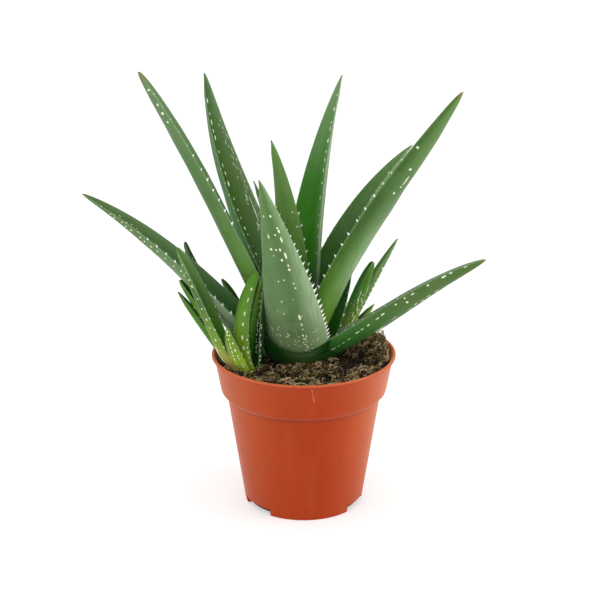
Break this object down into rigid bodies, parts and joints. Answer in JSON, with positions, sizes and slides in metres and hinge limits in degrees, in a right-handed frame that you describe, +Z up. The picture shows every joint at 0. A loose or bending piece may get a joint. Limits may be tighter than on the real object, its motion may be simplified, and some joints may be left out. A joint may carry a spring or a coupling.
{
  "type": "potted aloe plant",
  "caption": "Aloe with a rosette of long tapering toothed leaves and small offshoots, growing in fibrous soil in a round tapered plastic nursery pot.",
  "frame": {"origin": "centre of the pot's flat foot, on the ground", "axes": "+Z up out of the pot, -Y towards the viewer of the front, +X to that viewer's right"},
  "size_m": [0.2569, 0.1291, 0.2881],
  "materials": {
    "leaf_green": "satin",
    "leaf_sage": "satin",
    "leaf_young": "satin",
    "stem_pale": "matte",
    "potting_soil": "matte",
    "pot_plastic": "satin"
  },
  "bodies": {
    "root": {"stem": "stem_pale", "shoot_left_stem": "stem_pale", "shoot_right_stem": "stem_pale", "shoot_back_stem": "stem_pale", "leaf_heart": "leaf_green", "leaf_inner_front": "leaf_green", "leaf_back": "leaf_green", "leaf_back_right": "leaf_green", "leaf_back_left": "leaf_green", "leaf_upper_left": "leaf_green", "leaf_right": "leaf_green", "leaf_front": "leaf_sage", "leaf_behind_right": "leaf_green", "leaf_lower_right": "leaf_green", "leaf_lower_left": "leaf_green", "shoot_left_leaf_1": "leaf_young", "shoot_left_leaf_2": "leaf_young", "shoot_left_leaf_3": "leaf_young", "shoot_left_leaf_4": "leaf_young", "shoot_left_leaf_5": "leaf_young", "shoot_left_leaf_6": "leaf_young", "shoot_left_leaf_7": "leaf_young", "shoot_right_leaf_1": "leaf_young", "shoot_right_leaf_2": "leaf_young", "shoot_right_leaf_3": "leaf_young", "shoot_back_leaf_1": "leaf_young", "shoot_back_leaf_2": "leaf_young", "soil": "potting_soil", "pot": "pot_plastic"}
  },
  "joints": []
}
